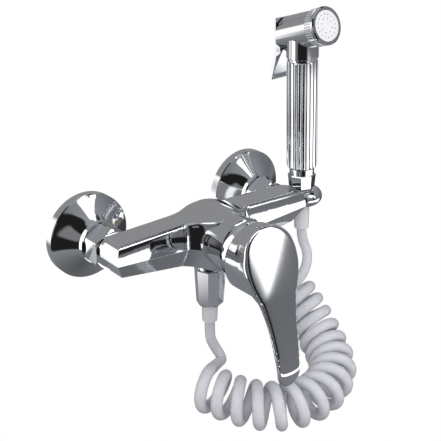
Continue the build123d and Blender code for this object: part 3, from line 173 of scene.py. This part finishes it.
curl = curl_points()
curl_start_way = (curl[1] - curl[0]).normalized()
curl_end_way = (curl[-1] - curl[-2]).normalized()
first_bend = curl[0] - curl_start_way * 21.7 * mm
lower_run = [
    Vector((outlet_x, outlet_y, lower_collar_bottom)),
    Vector((outlet_x, outlet_y, lower_collar_bottom - 10 * mm)),
    Vector((outlet_x + 0.6 * mm, outlet_y - 0.6 * mm, lower_collar_bottom - 19 * mm)),
    first_bend + Vector((8.5, 5.5, -3.0)) * mm,
    first_bend,
]
upper_run = [
    curl[-1] + curl_end_way * 17.7 * mm,
    Vector((177, -54.5, -49)) * mm,
    upper_collar_bottom - grip_way * 10 * mm,
    upper_collar_bottom,
]
hose_radii = [
    *[hose_radius] * len(lower_run),
    *[curl_tube_radius] * len(curl),
    *[hose_radius] * len(upper_run),
]
hose_curve = nurbs_curve("hose_curve", [*lower_run, *curl, *upper_run], 6, hose_radii)
hose_path = points_along(hose_curve)
hose_curve.bevel_depth = 1.0
hose_curve.bevel_resolution = 6
hose_curve.use_fill_caps = True
hose = bpy.data.objects.new("curly_hose", hose_curve)
bpy.context.scene.collection.objects.link(hose)
bpy.ops.object.select_all(action="DESELECT")
hose.select_set(True)
bpy.context.view_layer.objects.active = hose
bpy.ops.object.convert(target="MESH")
bpy.ops.object.shade_smooth()
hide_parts("hose_lower_run", "hose_coil", "hose_upper_run")
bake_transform(hose)


def polish_group():
    """The faint uneven haze that buffing, moulding or handling leaves on every surface here."""
    group = bpy.data.node_groups.new("polish", "ShaderNodeTree")
    for socket_name, value in (("Roughness", 0.04), ("Haze", 0.02), ("Scale", 60.0)):
        socket = group.interface.new_socket(socket_name, in_out="INPUT", socket_type="NodeSocketFloat")
        socket.default_value = value
    for socket_name in ("Roughness", "Height"):
        group.interface.new_socket(socket_name, in_out="OUTPUT", socket_type="NodeSocketFloat")
    nodes, links = group.nodes, group.links
    entry = nodes.new("NodeGroupInput")
    leaving = nodes.new("NodeGroupOutput")
    place = nodes.new("ShaderNodeTexCoord")
    cloud = nodes.new("ShaderNodeTexNoise")
    cloud.inputs["Detail"].default_value = 4
    spread = nodes.new("ShaderNodeMath")
    spread.operation = "MULTIPLY"
    total = nodes.new("ShaderNodeMath")
    total.operation = "ADD"
    links.new(place.outputs["Object"], cloud.inputs["Vector"])
    links.new(entry.outputs["Scale"], cloud.inputs["Scale"])
    links.new(cloud.outputs["Fac"], spread.inputs[0])
    links.new(entry.outputs["Haze"], spread.inputs[1])
    links.new(spread.outputs["Value"], total.inputs[0])
    links.new(entry.outputs["Roughness"], total.inputs[1])
    links.new(total.outputs["Value"], leaving.inputs["Roughness"])
    links.new(cloud.outputs["Fac"], leaving.inputs["Height"])
    return group


polish = polish_group()


def finish_with(name, color, roughness, haze, scale, metallic=0.0, bump=0.0, **plain):
    """A material on one Principled shader, with its polish from the shared group."""
    material = bpy.data.materials.new(name)
    material.use_nodes = True
    nodes, links = material.node_tree.nodes, material.node_tree.links
    shader = nodes["Principled BSDF"]
    shader.inputs["Base Color"].default_value = (*color, 1)
    shader.inputs["Metallic"].default_value = metallic
    for socket_name, value in plain.items():
        shader.inputs[socket_name.replace("_", " ")].default_value = value
    group = nodes.new("ShaderNodeGroup")
    group.node_tree = polish
    group.inputs["Roughness"].default_value = roughness
    group.inputs["Haze"].default_value = haze
    group.inputs["Scale"].default_value = scale
    links.new(group.outputs["Roughness"], shader.inputs["Roughness"])
    if bump:
        relief = nodes.new("ShaderNodeBump")
        relief.inputs["Strength"].default_value = bump
        relief.inputs["Distance"].default_value = 0.2 * mm
        links.new(group.outputs["Height"], relief.inputs["Height"])
        links.new(relief.outputs["Normal"], shader.inputs["Normal"])
    return material


def dress(material, *names):
    """Gives CAD nodes their material."""
    for name in names:
        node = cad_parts[name]
        node.data.materials.clear()
        node.data.materials.append(material)


milky_hose = finish_with(
    "milky_hose",
    (0.66, 0.66, 0.70),
    roughness=0.22,
    haze=0.10,
    scale=120,
    bump=0.03,
    Subsurface_Weight=0.35,
    Subsurface_Scale=3 * mm,
    Subsurface_Radius=(1, 1, 1),
)
hose.data.materials.append(milky_hose)
dress(milky_hose, "hose_lower_run", "hose_coil", "hose_upper_run")

# Studio. A pale floor far below, a white surround, and the soft boxes and black cards that stand
# round polished metal when it is photographed. The chrome shows them; the lens sees only white.
bpy.context.scene.view_settings.view_transform = "Standard"
bpy.ops.mesh.primitive_plane_add(size=8, location=(0.1, 0, -0.9))
studio_floor = bpy.context.object
studio_floor.name = "studio_floor"
studio_floor.visible_glossy = False
floor_finish = bpy.data.materials.new("studio_floor_white")
floor_finish.use_nodes = True
nodes, links = floor_finish.node_tree.nodes, floor_finish.node_tree.links
nodes["Principled BSDF"].inputs["Base Color"].default_value = (0.45, 0.45, 0.46, 1)
nodes["Principled BSDF"].inputs["Roughness"].default_value = 0.9
seen = nodes.new("ShaderNodeLightPath")
glow = nodes.new("ShaderNodeEmission")
glow.inputs["Strength"].default_value = 1.0
mixed = nodes.new("ShaderNodeMixShader")
links.new(seen.outputs["Is Camera Ray"], mixed.inputs["Fac"])
links.new(nodes["Principled BSDF"].outputs["BSDF"], mixed.inputs[1])
links.new(glow.outputs["Emission"], mixed.inputs[2])
links.new(mixed.outputs["Shader"], nodes["Material Output"].inputs["Surface"])
studio_floor.data.materials.append(floor_finish)

world = bpy.data.worlds.new("studio")
bpy.context.scene.world = world
world.use_nodes = True
nodes, links = world.node_tree.nodes, world.node_tree.links
coordinates = nodes.new("ShaderNodeTexCoord")
split = nodes.new("ShaderNodeSeparateXYZ")
links.new(coordinates.outputs["Generated"], split.inputs["Vector"])


def world_math(operation, *values):
    """One sum in the world's nodes, of numbers and of other sums."""
    step = nodes.new("ShaderNodeMath")
    step.operation = operation
    for i, value in enumerate(values):
        if isinstance(value, (int, float)):
            step.inputs[i].default_value = value
        else:
            links.new(value, step.inputs[i])
    return step.outputs["Value"]


# Degrees round from the mixer's front to its right, and degrees above the horizon
front_part = world_math("MULTIPLY", split.outputs["Y"], -1)
round_way = world_math("DEGREES", world_math("ARCTAN2", split.outputs["X"], front_part))
height_way = world_math("DEGREES", world_math("ARCSINE", split.outputs["Z"]))
# The bare room: degrees above the horizon, brightness
room_levels = (
    (-90, 0.10),
    (-60, 0.16),
    (-32, 0.27),
    (-17, 0.20),
    (-3, 0.17),
    (12, 0.19),
    (30, 0.27),
    (60, 0.34),
    (90, 0.5),
)
room_tint = (0.97, 1.0, 1.07)
wash = nodes.new("ShaderNodeValToRGB")
wash.color_ramp.interpolation = "LINEAR"
stops = wash.color_ramp.elements
for i, (degrees_up, level) in enumerate(room_levels):
    place = (degrees_up + 90) / 180
    stop = stops[i] if i < 2 else stops.new(place)
    stop.position = place
    stop.color = (*(level * tint for tint in room_tint), 1)
links.new(world_math("DIVIDE", world_math("ADD", height_way, 90), 180), wash.inputs["Fac"])


def band(value, low, high, soft):
    """One between low and high, falling to nothing at both over the soft edge."""
    rising = world_math("MINIMUM", 1, world_math("DIVIDE", world_math("SUBTRACT", value, low), soft))
    falling = world_math("MINIMUM", 1, world_math("DIVIDE", world_math("SUBTRACT", high, value), soft))
    return world_math("MAXIMUM", 0, world_math("MINIMUM", rising, falling))


def with_card(behind, left, right, bottom, top, soft, level, slant=0.0):
    """The room with one more card. With a slant the card's bottom and top rise to the right."""
    rise = world_math("MULTIPLY", world_math("SUBTRACT", round_way, left), slant)
    leaning = world_math("SUBTRACT", height_way, rise)
    mask = world_math("MULTIPLY", band(round_way, left, right, soft), band(leaning, bottom, top, soft))
    mix = nodes.new("ShaderNodeMix")
    mix.data_type = "RGBA"
    links.new(mask, mix.inputs["Factor"])
    links.new(behind, mix.inputs["A"])
    mix.inputs["B"].default_value = (level, level, level, 1)
    return mix.outputs["Result"]


# Cards from back to front: left, right, bottom, top and soft edge in degrees, then brightness
grey_back_left = (-180, -128, -28, 62, 6, 0.30)
grey_back_right = (128, 180, -28, 62, 6, 0.30)
black_front = (-79, -10, -34, 54, 4, 0.015)
grey_in_black = (-62, -30, -8, 24, 5, 0.22)
dark_low_right = (76, 128, -34, -14, 5, 0.05)
dark_high_right = (50, 130, 44, 62, 4, 0.03)
white_strip_behind = (-150, -135, -30, 22, 4, 1.3)
white_box_left = (-127, -95, -34, 56, 4, 1.9)
white_low_front = (-4, 76, -34, -12.5, 1.5, 1.8)
black_beside_lever = (24, 36.1, -9, 24, 0.5, 0.02)
white_on_lever = (36.2, 46, -1.6, 30, 0.3, 1.9, 2.8)
white_box_high = (10, 46, 30, 60, 4, 3.0)
room_color = wash.outputs["Color"]
for card in (
    grey_back_left,
    grey_back_right,
    black_front,
    grey_in_black,
    dark_low_right,
    dark_high_right,
    white_strip_behind,
    white_box_left,
    white_low_front,
    black_beside_lever,
    white_on_lever,
    white_box_high,
):
    room_color = with_card(room_color, *card)
room = nodes["Background"]
links.new(room_color, room.inputs["Color"])
white = nodes.new("ShaderNodeBackground")
white.inputs["Strength"].default_value = 1.0
white.inputs["Color"].default_value = (1, 1, 1, 1)
seen = nodes.new("ShaderNodeLightPath")
mixed = nodes.new("ShaderNodeMixShader")
links.new(seen.outputs["Is Camera Ray"], mixed.inputs["Fac"])
links.new(room.outputs["Background"], mixed.inputs[1])
links.new(white.outputs["Background"], mixed.inputs[2])
links.new(mixed.outputs["Shader"], nodes["World Output"].inputs["Surface"])

# One broad lamp over the lens lights the hose and the plastic, and leaves no mark in the chrome
fill_way = Vector((-0.35, -0.8, 0.5)).normalized()
fill_distance = 1.5
bpy.ops.object.light_add(type="AREA", location=camera_aim + fill_way * fill_distance)
fill_box = bpy.context.object
fill_box.name = "fill_box"
fill_box.data.shape = "RECTANGLE"
fill_box.data.size = 1.6
fill_box.data.size_y = 1.4
fill_box.data.energy = 19
fill_box.rotation_mode = "QUATERNION"
fill_box.rotation_quaternion = fill_way.to_track_quat("Z", "Y")
fill_box.visible_glossy = False

# Wall unions. Offset brass pieces that screw into the wall elbows, with a rubber washer and a
# moulded filter in front of each. The body's chromed inlet nipples come up to them, and the
# chromed union nuts draw the two together.
chrome = finish_with("mirror_chrome", (0.80, 0.81, 0.83), roughness=0.03, haze=0.03, scale=40, metallic=1.0)
brass = finish_with(
    "turned_brass", (0.72, 0.55, 0.28), roughness=0.22, haze=0.15, scale=300, metallic=1.0, bump=0.1
)
black_rubber = finish_with(
    "black_rubber", (0.035, 0.035, 0.035), roughness=0.55, haze=0.2, scale=400, bump=0.2
)
dark_plastic = finish_with(
    "dark_plastic", (0.12, 0.13, 0.15), roughness=0.35, haze=0.15, scale=300, bump=0.1
)
dress(brass, "left_wall_union", "right_wall_union")
dress(black_rubber, "left_union_washer", "right_union_washer")
dress(dark_plastic, "left_inlet_filter", "right_inlet_filter")
dress(chrome, "left_inlet_nipple", "right_inlet_nipple", "left_union_nut", "right_union_nut")

# Escutcheons. Thin bells spun from brass sheet and chromed. They are threaded over the unions
# and hide the holes in the tiles.
dress(chrome, "left_escutcheon", "right_escutcheon")

# Mixer body. One brass casting, ground, polished and chromed: a bar with bevelled ends that
# swells into the barrel for the cartridge. The outlet nipple is screwed into its underside.
dress(chrome, "mixer_body")
dress(brass, "outlet_nipple")
dress(black_rubber, "outlet_washer")

# Holder. A chromed ring with a slot for the hose, held to the end of the bar by a steel screw.
# The hand spray's hose nut rests in it.
steel = finish_with(
    "drawn_steel", (0.60, 0.60, 0.61), roughness=0.25, haze=0.12, scale=300, metallic=1.0, bump=0.05
)
dress(chrome, "handset_holder")
dress(steel, "holder_screw")

# Cartridge. A moulded case with two lapped ceramic discs. The lever's steel spindle tilts on a
# pin in the turret and slides the upper disc, and a brass nut holds all of it in the barrel.
ceramic = finish_with("lapped_ceramic", (0.90, 0.90, 0.87), roughness=0.12, haze=0.05, scale=200)
dress(dark_plastic, "cartridge_base", "cartridge_housing", "cartridge_turret", "disc_carrier")
dress(black_rubber, "cartridge_port_seals")
dress(ceramic, "ceramic_fixed_disc", "ceramic_moving_disc")
dress(steel, "lever_spindle", "spindle_pivot_pin")
dress(brass, "cartridge_nut")

# Dome ring. A chromed brass cover that screws on over the cartridge nut. The lever's skirt turns
# and tilts over it.
dress(chrome, "dome_ring")

# Lever. Cast brass, ground and chromed: the grinding leaves every edge of it a little round.
# A steel grub screw holds it to the spindle from below, under a small dark plug.
lever_grid = 0.5 * mm
lever_grinding_passes = 30
lever_casting = bpy.data.objects.new("lever_casting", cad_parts["lever_handle"].data.copy())
bpy.context.scene.collection.objects.link(lever_casting)
bpy.ops.object.select_all(action="DESELECT")
lever_casting.select_set(True)
bpy.context.view_layer.objects.active = lever_casting
bpy.ops.object.mode_set(mode="EDIT")
bpy.ops.mesh.select_all(action="SELECT")
bpy.ops.mesh.remove_doubles(threshold=0.01 * mm)
bpy.ops.object.mode_set(mode="OBJECT")
regrid = lever_casting.modifiers.new("regrid", "REMESH")
regrid.mode = "VOXEL"
regrid.voxel_size = lever_grid
bpy.ops.object.modifier_apply(modifier=regrid.name)
grinding = lever_casting.modifiers.new("grinding", "SMOOTH")
grinding.factor = 0.5
grinding.iterations = lever_grinding_passes
bpy.ops.object.modifier_apply(modifier=grinding.name)
bpy.ops.object.shade_smooth()
lever_casting.data.materials.clear()
lever_casting.data.materials.append(chrome)
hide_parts("lever_handle")
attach(lever_casting, "lever")
dress(chrome, "lever_handle")
dress(steel, "lever_grub_screw")
dress(dark_plastic, "lever_screw_plug")

# Hose ends. At each end a brass tail with a barb goes into the tube, a white moulded collar grips
# the tube over it, and a chromed nut turns on the tail. The upper nut takes a rubber washer.
white_plastic = finish_with(
    "white_plastic",
    (0.74, 0.74, 0.76),
    roughness=0.30,
    haze=0.12,
    scale=200,
    bump=0.04,
    Subsurface_Weight=0.2,
    Subsurface_Scale=2 * mm,
    Subsurface_Radius=(1, 1, 1),
)
dress(brass, "lower_hose_tail", "upper_hose_tail")
dress(white_plastic, "lower_hose_collar", "upper_hose_collar")
dress(chrome, "lower_hose_nut", "handset_hose_nut")
dress(black_rubber, "handset_washer")

# Hand spray. A fluted brass grip over a moulded water tube, with a cast head on its top end, all
# of it chromed. The knurled collar holds the white spray plate and the diffuser behind it.
spray_white = finish_with(
    "spray_white", (0.90, 0.90, 0.91), roughness=0.28, haze=0.10, scale=200, bump=0.02
)
dress(chrome, "handset_inlet", "fluted_grip", "spray_head", "knurled_collar")
dress(dark_plastic, "grip_water_tube", "spray_diffuser")
dress(spray_white, "spray_plate")

# Trigger and valve. A bent and chromed plate that swings on a steel pin and pushes the valve's
# stem. The stem lifts the rubber off its moulded seat, and a wire spring closes it again.
dress(chrome, "trigger")
dress(steel, "trigger_pin", "valve_stem", "valve_spring")
dress(black_rubber, "valve_rubber")
dress(dark_plastic, "valve_seat")
